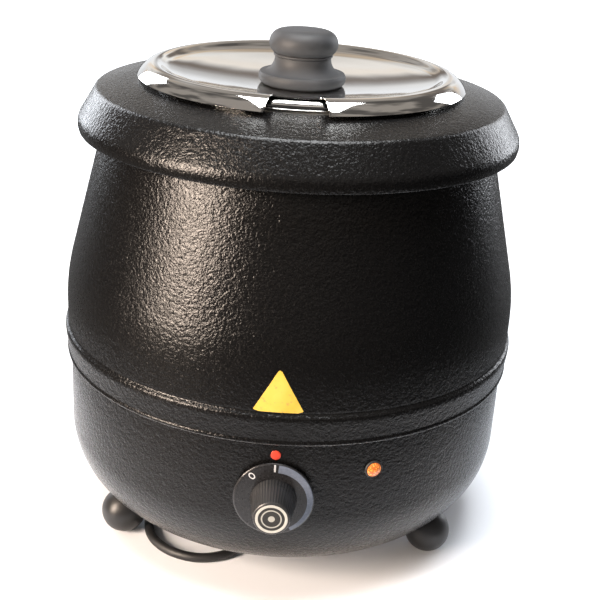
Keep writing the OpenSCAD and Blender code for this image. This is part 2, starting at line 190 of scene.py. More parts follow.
cameraPlan = {
    "place": (0.01522, -0.79254, 0.4975),
    "right": (0.99795, 0.03195, 0.05547),
    "up": (-0.06347, 0.38215, 0.92192),
    "back": (0.00826, -0.92355, 0.38340),
    "lens": 66.49,
}
bpy.ops.object.camera_add()
camera = bpy.context.object
axes = [Vector(cameraPlan[k]).normalized() for k in ("right", "up", "back")]
camera.matrix_world = Matrix.Translation(cameraPlan["place"]) @ Matrix(axes).transposed().to_4x4()
camera.data.lens = cameraPlan["lens"]
camera.data.sensor_width = 36
camera.data.clip_start = 0.01
bpy.context.scene.camera = camera
print("camera placed")


# short ways to build a material's nodes

def newMaterial(name, color, roughness, metallic=0.0, **sockets):
    material = bpy.data.materials.new(name)
    material.use_nodes = True
    shader = material.node_tree.nodes["Principled BSDF"]
    shader.inputs["Base Color"].default_value = (*color, 1)
    shader.inputs["Roughness"].default_value = roughness
    shader.inputs["Metallic"].default_value = metallic
    for key, value in sockets.items():
        shader.inputs[key.replace("_", " ")].default_value = value
    return material, material.node_tree, shader


def addNode(tree, kind, **settings):
    node = tree.nodes.new(kind)
    for key, value in settings.items():
        if key in node.inputs:
            node.inputs[key].default_value = value
        else:
            setattr(node, key, value)
    return node


def objectPlace(tree, scale=(1, 1, 1), turn=(0, 0, 0), shift=(0, 0, 0)):
    coords = addNode(tree, "ShaderNodeTexCoord")
    mapping = addNode(tree, "ShaderNodeMapping")
    mapping.inputs["Location"].default_value = shift
    mapping.inputs["Rotation"].default_value = turn
    mapping.inputs["Scale"].default_value = scale
    tree.links.new(coords.outputs["Object"], mapping.inputs["Vector"])
    return mapping.outputs["Vector"]


def noise(tree, vector, scale, detail=2.0, rough=0.5):
    node = addNode(tree, "ShaderNodeTexNoise", Scale=scale, Detail=detail, Roughness=rough)
    tree.links.new(vector, node.inputs["Vector"])
    return node.outputs["Fac"]


def spread(tree, value, low, high, fromLow=0.3, fromHigh=0.7):
    node = addNode(tree, "ShaderNodeMapRange")
    for key, number in (("From Min", fromLow), ("From Max", fromHigh), ("To Min", low), ("To Max", high)):
        node.inputs[key].default_value = number
    tree.links.new(value, node.inputs["Value"])
    return node.outputs["Result"]


def maths(tree, operation, a, b=None):
    node = addNode(tree, "ShaderNodeMath", operation=operation)
    for socket, value in ((node.inputs[0], a), (node.inputs[1], b)):
        if isinstance(value, (int, float)):
            socket.default_value = value
        elif value is not None:
            tree.links.new(value, socket)
    return node.outputs[0]


def mixColors(tree, share, first, second):
    node = addNode(tree, "ShaderNodeMix", data_type="RGBA")
    for socket, value in ((node.inputs[0], share), (node.inputs[6], first), (node.inputs[7], second)):
        if isinstance(value, tuple):
            socket.default_value = (*value, 1)
        else:
            tree.links.new(value, socket)
    return node.outputs[2]


def addBump(tree, shader, height, strength, distance, under=None):
    node = addNode(tree, "ShaderNodeBump", Strength=strength, Distance=distance)
    tree.links.new(height, node.inputs["Height"])
    if under:
        tree.links.new(under, node.inputs["Normal"])
    tree.links.new(node.outputs["Normal"], shader.inputs["Normal"])
    return node.outputs["Normal"]


# a plain finish with its own grain: slow colour drift, uneven gloss and a fine surface
def grainedMaterial(name, color, roughness, metallic=0.0, grain=900, depth=0.0001, strength=0.25,
                    drift=0.15, wear=0.1, stretch=(1, 1, 1), **sockets):
    material, tree, shader = newMaterial(name, color, roughness, metallic, **sockets)
    place3d = objectPlace(tree, scale=stretch)
    slow = noise(tree, place3d, grain / 25, 3)
    fine = noise(tree, place3d, grain, 4, 0.6)
    darker = tuple(c * (1 - drift) for c in color)
    lighter = tuple(min(1, c * (1 + drift)) for c in color)
    tree.links.new(mixColors(tree, spread(tree, slow, 0, 1), darker, lighter), shader.inputs["Base Color"])
    gloss = spread(tree, slow, max(0.02, roughness - wear), min(1, roughness + wear))
    tree.links.new(gloss, shader.inputs["Roughness"])
    addBump(tree, shader, fine, strength, depth)
    return material


# the power cord is laid first: centreline points in millimetres, from the gland to the plug

cordPlan = {
    "radius": 3.5,
    "out": [
        (0, 179.36, 27.23), (0, 188, 20.9), (-2, 200, 12.5), (-6, 211, 6.6), (-14, 223, 4.1),
        (-25, 230, 3.7), (-39, 232, 3.6), (-52, 228, 3.6), (-62, 218, 3.6), (-67, 205, 3.6),
        (-69, 185, 3.6), (-69, 140, 3.6), (-74, 90, 3.6), (-84, 40, 3.6), (-93, -10, 3.6), (-98, -50, 3.6),
        (-97, -74, 3.6), (-90, -92, 3.6), (-76, -105, 3.6), (-58, -111, 3.6), (-41, -108, 3.6),
        (-28, -98, 3.6), (-16, -78, 3.6), (-6, -40, 3.6), (6, 10, 3.6), (20, 60, 3.6), (28, 88, 3.6),
        (32, 112, 3.6), (33, 130, 3.6), (37, 146, 3.6), (49, 158, 3.6), (65, 162, 3.6)],
    "in": [
        (65, 162, 10.6), (83, 161.5, 9.8), (101, 162.5, 8.2), (117, 168, 7.8), (129, 181, 10.8),
        (133, 197, 16), (133, 210, 18.5)],
    "coilCentre": (65, 206),
    "coilOuter": 44,
    "turnsPerLayer": 2,
    "pointsPerTurn": 16,
}


# two flat spirals, inwards on the floor and outwards on top of it, a diameter apart
def coilPoints(plan):
    apart = plan["radius"] * 2
    turns, per = plan["turnsPerLayer"], plan["pointsPerTurn"]
    riseFrom, riseTo = turns - 0.3, turns
    points = []
    for i in range(1, 2 * turns * per):
        t = i / per
        radius = plan["coilOuter"] - apart * (t if t < turns else 2 * turns - t)
        share = min(1, max(0, (t - riseFrom) / (riseTo - riseFrom)))
        height = plan["out"][-1][2] + apart * share * share * (3 - 2 * share)
        turn = math.radians(-90 + 360 * t)
        points.append((plan["coilCentre"][0] + radius * math.cos(turn),
                       plan["coilCentre"][1] + radius * math.sin(turn), height))
    return points


def makeCord(plan):
    route = [Vector(p) * mm for p in plan["out"] + coilPoints(plan) + plan["in"]]
    data = bpy.data.curves.new("powerCordFlex", "CURVE")
    data.dimensions = "3D"
    data.resolution_u = 8
    data.bevel_depth = plan["radius"] * mm
    data.bevel_resolution = 4
    data.use_fill_caps = True
    spline = data.splines.new("BEZIER")
    spline.bezier_points.add(len(route) - 1)
    for i, (knot, p) in enumerate(zip(spline.bezier_points, route)):
        lean = (route[min(i + 1, len(route) - 1)] - route[max(i - 1, 0)]) / 6
        knot.handle_left_type = knot.handle_right_type = "FREE"
        knot.co, knot.handle_left, knot.handle_right = p, p - lean, p + lean
    obj = bpy.data.objects.new("powerCordFlex", data)
    bpy.context.scene.collection.objects.link(obj)
    return obj, sum(s.calc_length() for s in data.splines)


rubberCord = grainedMaterial("cordRubber", (0.009, 0.009, 0.010), 0.50, grain=1600, depth=0.00008,
                             strength=0.3, drift=0.25, wear=0.08)
cord, cordLength = makeCord(cordPlan)
finishPiece(cord, "kettle_body", rubberCord, ("power_cord", "cord_coil"))
print("cord laid, %.3f m" % cordLength)


# black powder coat with a hammered, orange-peel skin; below hemTop the hem's edge is painted pale, a painted
# reflection of the bright floor
def hammertone(name, hemTop=0.0):
    material, tree, shader = newMaterial(name, (0.004, 0.004, 0.0042), 0.30, Specular_IOR_Level=0.27)
    place3d = objectPlace(tree)
    peel = noise(tree, place3d, 360, 1.0, 0.45)
    fleck = noise(tree, place3d, 760, 1.5, 0.6)
    fine = noise(tree, place3d, 1700, 2, 0.6)
    drift = noise(tree, place3d, 14, 3)
    coat = mixColors(tree, spread(tree, fine, 0, 1, 0.5, 0.75),
                     (0.0030, 0.0030, 0.0033), (0.010, 0.0097, 0.0095))
    if hemTop:
        split = addNode(tree, "ShaderNodeSeparateXYZ")
        tree.links.new(place3d, split.inputs[0])
        # painted reflection: a thin pale grey band on the hem's lower edge stands in for the bright floor that
        # it reflects
        wearAndSheen = maths(tree, "MULTIPLY", spread(tree, split.outputs[2], 1, 0, hemTop - 0.0003, hemTop),
                       spread(tree, drift, 0.45, 1, 0.35, 0.6))
        coat = mixColors(tree, wearAndSheen, coat, (0.20, 0.20, 0.21))
    tree.links.new(coat, shader.inputs["Base Color"])
    gloss = maths(tree, "ADD", spread(tree, fleck, 0.12, 0.32), spread(tree, drift, -0.02, 0.03))
    tree.links.new(gloss, shader.inputs["Roughness"])
    under = addBump(tree, shader, peel, 0.75, 0.0005)
    under = addBump(tree, shader, fleck, 0.9, 0.00036, under)
    addBump(tree, shader, fine, 0.5, 0.00012, under)
    return material


# polished sheet: faint turned marks round the axis, and a little haze
def polishedSteel(name, roughness, marks=2600, strength=0.05):
    material, tree, shader = newMaterial(name, (0.80, 0.79, 0.77), roughness, 1.0)
    coords = addNode(tree, "ShaderNodeTexCoord")
    split = addNode(tree, "ShaderNodeSeparateXYZ")
    tree.links.new(coords.outputs["Object"], split.inputs[0])
    square = maths(tree, "ADD", maths(tree, "MULTIPLY", split.outputs[0], split.outputs[0]),
                   maths(tree, "MULTIPLY", split.outputs[1], split.outputs[1]))
    radius = maths(tree, "SQRT", square)
    join = addNode(tree, "ShaderNodeCombineXYZ")
    tree.links.new(radius, join.inputs[0])
    tree.links.new(split.outputs[2], join.inputs[1])
    rings = noise(tree, join.outputs[0], marks, 3, 0.6)
    haze = noise(tree, objectPlace(tree), 22, 4, 0.55)
    tree.links.new(spread(tree, haze, roughness * 0.6, roughness * 1.9), shader.inputs["Roughness"])
    tree.links.new(mixColors(tree, spread(tree, haze, 0, 1), (0.78, 0.765, 0.745), (0.85, 0.845, 0.83)),
                   shader.inputs["Base Color"])
    addBump(tree, shader, rings, strength, 0.00003)
    return material


enamel = hammertone("hammertoneEnamel")
barrelEnamel = hammertone("hammertoneBarrel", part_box("upper_shell")[0].z + 0.0011)
mirrorSteel = polishedSteel("mirrorSteel", 0.045)
satinSteel = polishedSteel("satinSteel", 0.22, 1800, 0.2)
zincPlate = grainedMaterial("zincPlate", (0.55, 0.56, 0.57), 0.36, 1.0, 1400, 0.00005, 0.2, 0.12, 0.12)
galvanisedSheet = grainedMaterial("galvanisedSheet", (0.50, 0.51, 0.52), 0.42, 0.9, 260, 0.00006,
                                  0.25, 0.22, 0.14)
heaterSheath = grainedMaterial("heaterSheath", (0.28, 0.20, 0.14), 0.44, 0.9, 500, 0.00006, 0.25, 0.4, 0.12)
bareCopper = grainedMaterial("bareCopper", (0.60, 0.27, 0.15), 0.34, 1.0, 900, 0.00004, 0.2, 0.25, 0.12)
turnedBrass = grainedMaterial("turnedBrass", (0.62, 0.47, 0.20), 0.30, 1.0, 1200, 0.00004, 0.2, 0.15, 0.1)
creamMoulding = grainedMaterial("creamMoulding", (0.72, 0.68, 0.57), 0.48, 0, 700, 0.00006, 0.25, 0.06, 0.08)
blackMoulding = grainedMaterial("blackMoulding", (0.022, 0.022, 0.023), 0.42, 0, 1300, 0.00007, 0.3, 0.2, 0.08)
siliconeSeal = grainedMaterial("siliconeSeal", (0.60, 0.58, 0.52), 0.52, 0, 500, 0.00008, 0.2, 0.06, 0.08)
wireBrown = grainedMaterial("wireBrown", (0.16, 0.07, 0.03), 0.42, 0, 1500, 0.00004, 0.2, 0.15, 0.08)
wireBlue = grainedMaterial("wireBlue", (0.03, 0.10, 0.36), 0.42, 0, 1500, 0.00004, 0.2, 0.15, 0.08)
nickelPlate = grainedMaterial("nickelPlate", (0.72, 0.70, 0.66), 0.20, 1.0, 1500, 0.00003, 0.15, 0.06, 0.08)
phenolic = grainedMaterial("greyPhenolic", (0.034, 0.035, 0.038), 0.60, 0, 900, 0.00014, 0.4, 0.25, 0.10,
                           Specular_IOR_Level=0.3)
ballRubber = grainedMaterial("footMoulding", (0.018, 0.018, 0.019), 0.44, 0, 850, 0.00014, 0.4, 0.4, 0.12,
                             Specular_IOR_Level=0.4)
print("finishes mixed")


# housing: base bowl, barrel and collar, sizes in millimetres

bowlPlan = {"round": 62, "sheet": 1.2, "lip": 85}
barrelPlan = {"belt": 2.0, "beltTop": 23.9, "breakUp": 39.4, "breakRound": 150, "lean": 13.8, "sheet": 1.2}
collarPlan = {"sheet": 1.2, "edgeRound": 12, "flank": 33, "deckRound": 4.6, "deckEdge": 332.8, "flat": 118,
              "hole": 104.8, "ledge": 100.6, "ledgeZ": 336.8}


def makeBowl(plan):
    low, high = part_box("base_shell")
    radius, bottom, top = high.x / mm, low.z / mm, high.z / mm
    side = [(plan["lip"], bottom)] + arc((radius - plan["round"], bottom + plan["round"]), plan["round"],
                                         -90, 0, 40) + [(radius, top - 8), (radius, top)]
    return lathe("baseBowl", side + lining(side, plan["sheet"]), steps=256)


def makeBarrel(plan):
    low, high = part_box("upper_shell")
    crest, bottom, top = high.x / mm, low.z / mm, high.z / mm
    radius = crest - plan["belt"]
    inner = radius - 1.5
    beltTop, breakZ = bottom + plan["beltTop"], bottom + plan["breakUp"]
    lean, big = math.radians(plan["lean"]), plan["breakRound"]
    bend = arc((radius - big, breakZ), big, 0, plan["lean"], 14)
    run = top - bend[-1][1]
    side = bend + [(bend[-1][0] - math.tan(lean) * run, top)]
    belt = rounded([
        (inner, bottom, 0.3), (radius - 0.2, bottom, 0.5), (radius + 0.9, bottom + 1.0, 0.6),
        (radius + 0.9, bottom + 2.4, 0.6), (radius + 0.35, bottom + 3.6, 1.2), (radius + 1.5, bottom + 14, 4),
        (crest, bottom + 18.4, 1.8), (crest - 0.25, bottom + 20.8, 0.8), (radius + 0.1, bottom + 22.6, 0.5),
        (radius - 0.35, bottom + 23.4, 0.5), (radius, beltTop + 0.8, 0.6),
        (radius, breakZ - 4, 0)], closed=False)
    return lathe("barrelShell", belt + side + lining(side, plan["sheet"]) + [(inner, beltTop)], steps=256)


def makeCollar(plan):
    low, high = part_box("collar")
    radius, bottom, top = high.x / mm, low.z / mm, high.z / mm
    roundMiddle = (radius - plan["edgeRound"], bottom + 5.4)
    skirt = rounded([(radius - 2.6, bottom, 0), (radius - 0.9, bottom + 0.5, 0.8),
                     arc(roundMiddle, plan["edgeRound"], -12, 33, 1)[0]], closed=False)[:-1]
    skirt += arc(roundMiddle, plan["edgeRound"], -12, plan["flank"], 12)
    deck = arc((142.6, plan["deckEdge"] - 5.2), plan["deckRound"], plan["flank"], 76, 8)
    hole, ledge = plan["hole"], plan["ledgeZ"]
    rim = rounded([(plan["flat"], top - 0.6, 8), (hole, top, 1.0), (hole, ledge, 0.5),
                   (plan["ledge"], ledge, 0)], closed=False)
    rim = [(plan["flat"] + 3, top - 1.3)] + rim[1:]
    side = skirt + deck + rim
    return lathe("collarDome", side + lining(side, plan["sheet"]), steps=256)


finishPiece(makeBowl(bowlPlan), "kettle_body", enamel, ("base_shell",))
finishPiece(makeBarrel(barrelPlan), "kettle_body", barrelEnamel, ("upper_shell",))
finishPiece(makeCollar(collarPlan), "kettle_body", enamel, ("collar",))
print("housing spun")


# water well, soup pot and lid

wellPlan = {"sheet": 1.0, "corner": 10, "flange": 104.2}
potPlan = {"sheet": 0.8, "corner": 12, "foot": 92, "roll": 3.4}
lidPlan = {
    "thickness": 0.8,
    "top": [(0, 336), (30, 336, 4), (50, 337.5, 8), (70, 339.9, 8), (88, 342.9, 6), (96, 344.9, 3),
            (100.8, 348, 1.6), (103.2, 348.9, 1.0), (106.2, 348.8, 1.4), (110.2, 347.2, 2.4),
            (113.6, 344.2, 2.0), (116.8, 340.3, 0)],
    "notchWide": 34,
    "notchIn": 100,
    "notchRound": 3.2,
}


def makeWell(plan):
    low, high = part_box("water_well")
    bottom, top = low.z / mm + plan["sheet"], high.z / mm
    wall = 99.3
    side = rounded([(plan["flange"], top, 0), (wall, top, 1.2), (wall, bottom + plan["corner"], 0)], False)
    side += arc((wall - plan["corner"], bottom + plan["corner"]), plan["corner"], 0, -90, 8)[1:]
    side += [(50, bottom), (0, bottom)]
    return lathe("waterWell", side + lining(side, plan["sheet"]), steps=192)


def makePot(plan):
    low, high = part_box("soup_pot")
    outer, top, bottom = high.x / mm, high.z / mm, low.z / mm + plan["sheet"]
    roll, foot = plan["roll"], plan["foot"]
    wall, rimZ = outer - 2 * roll + 0.3, top - roll
    rim = arc((outer - roll, rimZ), roll, -60, 180, 16)
    side = rim + [(wall, rimZ - 6), (foot, bottom + plan["corner"])]
    side += arc((foot - plan["corner"], bottom + plan["corner"]), plan["corner"], 0, -90, 8)[1:]
    side += [(40, bottom), (0, bottom)]
    return lathe("soupPotShell", side + lining(side, plan["sheet"]), steps=192)


# the lid's plate is spun, its notch is cut, and every cut edge is eased
def makeLid(plan):
    line = rounded(plan["top"], closed=False, stepsPerCorner=6)
    under = lining(line, -plan["thickness"])
    plate = lathe("lidPlateMirror", line + under, steps=288)
    half, inner, size = plan["notchWide"] / 2, plan["notchIn"], plan["notchRound"]
    edge = plan["top"][-1][0]
    deselectAll()
    bpy.ops.mesh.primitive_plane_add(size=mm, location=(0, 0, 0.33))
    cutter = bpy.context.object
    outline = rounded([
        (-half - 10, -edge - 6, 0), (-half - 4.5, -edge + 0.2, 3.5), (-half - 1.2, -edge + 9, 5),
        (-half + 1.5, -inner, size), (half - 1.5, -inner, size), (half + 1.2, -edge + 9, 5),
        (half + 4.5, -edge + 0.2, 3.5), (half + 10, -edge - 6, 0)], closed=True, stepsPerCorner=7)
    editMode(cutter)
    bpy.ops.mesh.select_all(action="SELECT")
    bpy.ops.mesh.merge(type="CENTER")
    bpy.ops.transform.translate(value=(outline[0][0] * mm, outline[0][1] * mm, 0))
    for a, b in zip(outline, outline[1:] + outline[:1]):
        step = ((b[0] - a[0]) * mm, (b[1] - a[1]) * mm, 0)
        bpy.ops.mesh.extrude_region_move(TRANSFORM_OT_translate={"value": step})
    bpy.ops.mesh.select_all(action="SELECT")
    bpy.ops.mesh.remove_doubles(threshold=1e-6)
    bpy.ops.mesh.select_all(action="SELECT")
    bpy.ops.mesh.edge_face_add()
    bpy.ops.mesh.extrude_region_move(TRANSFORM_OT_translate={"value": (0, 0, 0.03)})
    bpy.ops.mesh.select_all(action="SELECT")
    bpy.ops.mesh.normals_make_consistent(inside=False)
    objectMode()
    cutAway(plate, cutter)
    applyModifier(plate, "BEVEL", width=0.0002, segments=2, limit_method="ANGLE",
                  angle_limit=math.radians(50))
    return plate


finishPiece(makeWell(wellPlan), "kettle_body", satinSteel, ("water_well",))
finishPiece(makePot(potPlan), "soup_pot", mirrorSteel, ("soup_pot",))
finishPiece(makeLid(lidPlan), "lid", mirrorSteel, ("lid_plate",), 35)
print("pots and lid spun")

lidKnobPlan = {"foot": 26, "neck": 20, "bulb": 24.5, "seam": 0.35}


def makeLidKnob(plan):
    low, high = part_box("lid_knob")
    bottom, top = low.z / mm, high.z / mm
    side = [(0, bottom), (plan["foot"] - 1, bottom)]
    side += arc((plan["foot"], bottom + 5.3), 5.3, -88, 38, 12)
    side += arc((plan["neck"] + 11.3, bottom + 19.1), 11.3, -112, -176, 10)
    ring = bottom + 19.9
    side += rounded([(plan["neck"] + 0.05, ring - 0.4, 0), (plan["neck"] - plan["seam"], ring, 0.3),
                     (plan["neck"] + 1.1, ring + 0.5, 0.4), (plan["neck"] + 1.1, ring + 1.5, 0.4),
                     (plan["neck"] + 0.2, ring + 2.2, 0.3)], closed=False)
    side += arc((plan["bulb"] - 9, top - 9), 9, -52, 78, 16)
    side += [(9, top - 0.05), (0, top)]
    return lathe("lidKnobGrip", side, closed=False, steps=128)


finishPiece(makeLidKnob(lidKnobPlan), "lid", phenolic, ("lid_knob",), 40)
print("lid knob turned")


# three ball feet, seated against the bowl

footPlan = {"radius": 16.8, "flat": 0.5, "ring": 137, "turns": (-148, -32, 90), "clear": 0.08}
footNames = ("foot_front_left", "foot_front_right", "foot_rear")


def makeFoot(plan, turn, name):
    deselectAll()
    radius = plan["radius"] * mm
    bpy.ops.mesh.primitive_uv_sphere_add(segments=64, ring_count=40, radius=radius,
                                         location=(plan["ring"] * mm, 0, radius - plan["flat"] * mm))
    ball = bpy.context.object
    ball.name = ball.data.name = name
    bpy.ops.object.transform_apply(location=True, rotation=False, scale=False)
    editMode(ball)
    bpy.ops.mesh.select_all(action="SELECT")
    bpy.ops.mesh.bisect(plane_co=(0, 0, 0.00002), plane_no=(0, 0, 1), clear_inner=True, use_fill=True)
    objectMode()
    low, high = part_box("base_shell")
    side = arc((high.x / mm - bowlPlan["round"], low.z / mm + bowlPlan["round"]),
               bowlPlan["round"] + plan["clear"], -90, -5, 40)
    bowl = lathe("bowlCutter", [(0, side[0][1])] + side + [(0, side[-1][1])], closed=False, steps=96)
    cutAway(ball, bowl)
    applyModifier(ball, "BEVEL", width=0.0006, segments=3, limit_method="ANGLE", angle_limit=math.radians(35))
    place(ball, Matrix.Rotation(math.radians(turn), 4, "Z"))
    return ball


for turn, node in zip(footPlan["turns"], footNames):
    label = "ball" + node.title().replace("_", "")
    finishPiece(makeFoot(footPlan, turn, label), "kettle_body", ballRubber, (node,), 40)
print("feet turned")


# control knob: skirt with its printed scale, ribbed grip, cap

knobPlan = {
    "axis": 95.5, "skirtRadius": 27, "skirtBack": 167.6, "skirtThick": 1.8,
    "gripWide": 15.6, "ribs": 44, "perRib": 6, "ribDeep": 0.32, "face": 192, "capRadius": 10.75,
}


def makeSkirt(plan):
    r, t = plan["skirtRadius"], plan["skirtThick"]
    line = rounded([(7.5, 0, 0.1), (r, 0, 0.3), (r, t * 0.6, 0.4), (r - 1.2, t, 0.5), (7.5, t, 0.1)])
    skirt = lathe("knobSkirtDisc", line, steps=128)
    place(skirt, facing(-90, plan["skirtBack"], plan["axis"]))
    return skirt


# a ring of vertices is drawn up in steps and closed at the face, then the valleys between ribs go in
def makeGrip(plan):
    back = plan["skirtBack"] + plan["skirtThick"]
    long = plan["face"] - back
    perRib = plan["perRib"]
    deselectAll()
    bpy.ops.mesh.primitive_circle_add(vertices=plan["ribs"] * perRib, radius=plan["gripWide"] * mm,
                                      fill_type="NOTHING")
    grip = bpy.context.object
    grip.name = grip.data.name = "knobGripRibbed"
    editMode(grip)
    bpy.ops.mesh.select_all(action="SELECT")
    steps = [(0, 15.6), (0.5, 15.6), (3, 15.0), (long * 0.5, 13.75), (long - 1.6, 12.5), (long - 0.5, 12.1),
             (long, 11.5)]
    for (z0, r0), (z1, r1) in zip(steps, steps[1:]):
        bpy.ops.mesh.extrude_region_move(TRANSFORM_OT_translate={"value": (0, 0, (z1 - z0) * mm)})
        bpy.ops.transform.resize(value=(r1 / r0, r1 / r0, 1))
    bpy.ops.mesh.extrude_region_move(TRANSFORM_OT_translate={"value": (0, 0, 0)})
    bpy.ops.transform.resize(value=(10.85 / 11.5, 10.85 / 11.5, 1))
    bpy.ops.mesh.extrude_region_move(TRANSFORM_OT_translate={"value": (0, 0, -0.8 * mm)})
    bpy.ops.mesh.edge_face_add()
    full, half = (long - 1.6 + 0.01) * mm, (long - 0.5 + 0.01) * mm     # ribs fade out towards the face
    for step in range(1, perRib):
        dip = 0.5 - 0.5 * math.cos(2 * math.pi * step / perRib)
        for bottom, top, share in ((-1, full, 1.0), (full, half, 0.5 / 1.6)):
            pickVerts(grip, lambda co: bottom < co.z < top and co.xy.length > 11.6 * mm and
                      round(math.atan2(co.y, co.x) / (2 * math.pi) * plan["ribs"] * perRib) % perRib == step)
            drawn = 1 - share * plan["ribDeep"] / 14 * dip
            bpy.ops.transform.resize(value=(drawn, drawn, 1))
    bpy.ops.mesh.select_all(action="SELECT")
    bpy.ops.mesh.normals_make_consistent(inside=False)
    pickVerts(grip, lambda co: co.z < 1e-6)
    bpy.ops.mesh.edge_face_add()
    objectMode()
    place(grip, facing(-90, back, plan["axis"]))
    return grip


def makeCap(plan):
    r = plan["capRadius"]
    line = rounded([(0, 0), (r, 0, 0.1), (r, 0.95, 0.15), (r - 0.25, 1.2, 0.2), (r - 2.0, 1.2, 0.15),
                    (r - 2.2, 1.0, 0.1), (6.9, 1.0, 0.1), (6.7, 1.15, 0.1), (5.9, 1.15, 0.1),
                    (5.7, 1.0, 0.1), (0, 1.0)], closed=False, stepsPerCorner=3)
    cap = lathe("knobCapDisc", line, closed=False, steps=128)
    place(cap, facing(-90, plan["face"] - 0.8, plan["axis"]))
    return cap


# turn round the knob's axis (0 at the top, growing clockwise) and distance from it
def knobPolar(tree):
    coords = addNode(tree, "ShaderNodeTexCoord")
    split = addNode(tree, "ShaderNodeSeparateXYZ")
    tree.links.new(coords.outputs["Object"], split.inputs[0])
    up = maths(tree, "SUBTRACT", split.outputs[2], knobPlan["axis"] * mm)
    across = split.outputs[0]
    turn = maths(tree, "ARCTAN2", across, up)
    radius = maths(tree, "SQRT", maths(tree, "ADD", maths(tree, "MULTIPLY", across, across),
                                       maths(tree, "MULTIPLY", up, up)))
    return maths(tree, "MULTIPLY", turn, 180 / math.pi), maths(tree, "MULTIPLY", radius, 1000), across, up


# 1 between low and high, 0 outside, fading over soft to each side of both
def between(tree, value, low, high, soft):
    def edge(a, b, downwards):
        node = addNode(tree, "ShaderNodeMapRange")
        for key, source in (("From Min", a), ("From Max", b)):
            if isinstance(source, (int, float)):
                node.inputs[key].default_value = source
            else:
                tree.links.new(source, node.inputs[key])
        node.inputs["To Min"].default_value = 1 if downwards else 0
        node.inputs["To Max"].default_value = 0 if downwards else 1
        tree.links.new(value, node.inputs["Value"])
        return node.outputs["Result"]

    def moved(x, step):
        return x + step if isinstance(x, (int, float)) else maths(tree, "ADD", x, step)

    return maths(tree, "MULTIPLY", edge(moved(low, -soft), moved(low, soft), False),
                 edge(moved(high, -soft), moved(high, soft), True))


# smoky skirt: a blue-grey wedge from the top round to the right, narrowing as it goes, a tick and a 0
def skirtPrint():
    material, tree, shader = newMaterial("skirtPrinted", (0.03, 0.03, 0.033), 0.2, Specular_IOR_Level=0.3,
                                         Coat_Weight=0.25, Coat_Roughness=0.08)
    turn, radius, across, up = knobPolar(tree)
    clockwise = maths(tree, "ADD", turn, maths(tree, "MULTIPLY", maths(tree, "LESS_THAN", turn, -20), 360))
    outer = 26.2
    width = spread(tree, clockwise, 5.8, 2.6, 0, 150)
    inner = maths(tree, "SUBTRACT", outer, width)
    wedge = maths(tree, "MULTIPLY", between(tree, radius, inner, outer, 0.12),
                  between(tree, clockwise, 6, 152, 0.6))
    tick = maths(tree, "MULTIPLY", between(tree, across, -0.0006, 0.0006, 0.0001),
                 between(tree, radius, 21.0, 26.2, 0.12))
    # the 0 is an oval ring, 41 degrees before the top
    zeroTurn, zeroAt = math.radians(-41), 22.6
    dx = maths(tree, "SUBTRACT", across, math.sin(zeroTurn) * zeroAt * mm)
    dz = maths(tree, "SUBTRACT", up, math.cos(zeroTurn) * zeroAt * mm)
    alongZero = maths(tree, "ADD", maths(tree, "MULTIPLY", dx, math.sin(zeroTurn)),
                      maths(tree, "MULTIPLY", dz, math.cos(zeroTurn)))
    acrossZero = maths(tree, "SUBTRACT", maths(tree, "MULTIPLY", dx, math.cos(zeroTurn)),
                       maths(tree, "MULTIPLY", dz, math.sin(zeroTurn)))
    shortSide = maths(tree, "MULTIPLY", acrossZero, 1.45)
    size = maths(tree, "SQRT", maths(tree, "ADD", maths(tree, "MULTIPLY", alongZero, alongZero),
                                     maths(tree, "MULTIPLY", shortSide, shortSide)))
    zero = between(tree, size, 0.00175, 0.00265, 0.00012)
    worn = noise(tree, objectPlace(tree), 900, 3)
    wedgeInk = maths(tree, "MULTIPLY", wedge, spread(tree, worn, 0.75, 1))
    paleInk = maths(tree, "MAXIMUM", maths(tree, "MULTIPLY", tick, 0.8), maths(tree, "MULTIPLY", zero, 0.9))
    ground = mixColors(tree, spread(tree, worn, 0, 1), (0.010, 0.010, 0.011), (0.020, 0.020, 0.022))
    inked = mixColors(tree, wedgeInk, ground, (0.135, 0.160, 0.215))
    tree.links.new(mixColors(tree, paleInk, inked, (0.62, 0.63, 0.66)), shader.inputs["Base Color"])
    tree.links.new(spread(tree, worn, 0.16, 0.28), shader.inputs["Roughness"])
    addBump(tree, shader, worn, 0.15, 0.00004)
    return material


def capPrint():
    material, tree, shader = newMaterial("capPrinted", (0.03, 0.03, 0.032), 0.32, Specular_IOR_Level=0.3)
    _, radius, _, _ = knobPolar(tree)
    worn = noise(tree, objectPlace(tree), 1200, 3)
    outer = between(tree, radius, 8.7, 10.5, 0.1)
    inner = between(tree, radius, 5.85, 6.75, 0.08)
    middle = between(tree, radius, -1, 2.2, 0.08)
    ink = maths(tree, "MULTIPLY", maths(tree, "MAXIMUM", outer, maths(tree, "MULTIPLY",
                maths(tree, "MAXIMUM", inner, middle), 0.75)), spread(tree, worn, 0.85, 1))
    ground = mixColors(tree, spread(tree, worn, 0, 1), (0.020, 0.020, 0.020), (0.034, 0.034, 0.033))
    tree.links.new(mixColors(tree, ink, ground, (0.50, 0.50, 0.47)), shader.inputs["Base Color"])
    tree.links.new(spread(tree, worn, 0.28, 0.42), shader.inputs["Roughness"])
    addBump(tree, shader, worn, 0.15, 0.00004)
    return material


gripPlastic = grainedMaterial("gripPlastic", (0.020, 0.020, 0.021), 0.34, 0, 1100, 0.00006, 0.25, 0.25, 0.08)
finishPiece(makeSkirt(knobPlan), "knob", skirtPrint(), ("knob_skirt",))
finishPiece(makeGrip(knobPlan), "knob", gripPlastic, ("knob_grip",), 30)
finishPiece(makeCap(knobPlan), "knob", capPrint(), ("knob_cap",), 30)
print("control knob made")


# index dot, pilot lamp and triangular label

lampPlan = {"turn": -67, "height": 114, "bezel": 6.3, "lens": 5.0, "dome": 7.0}


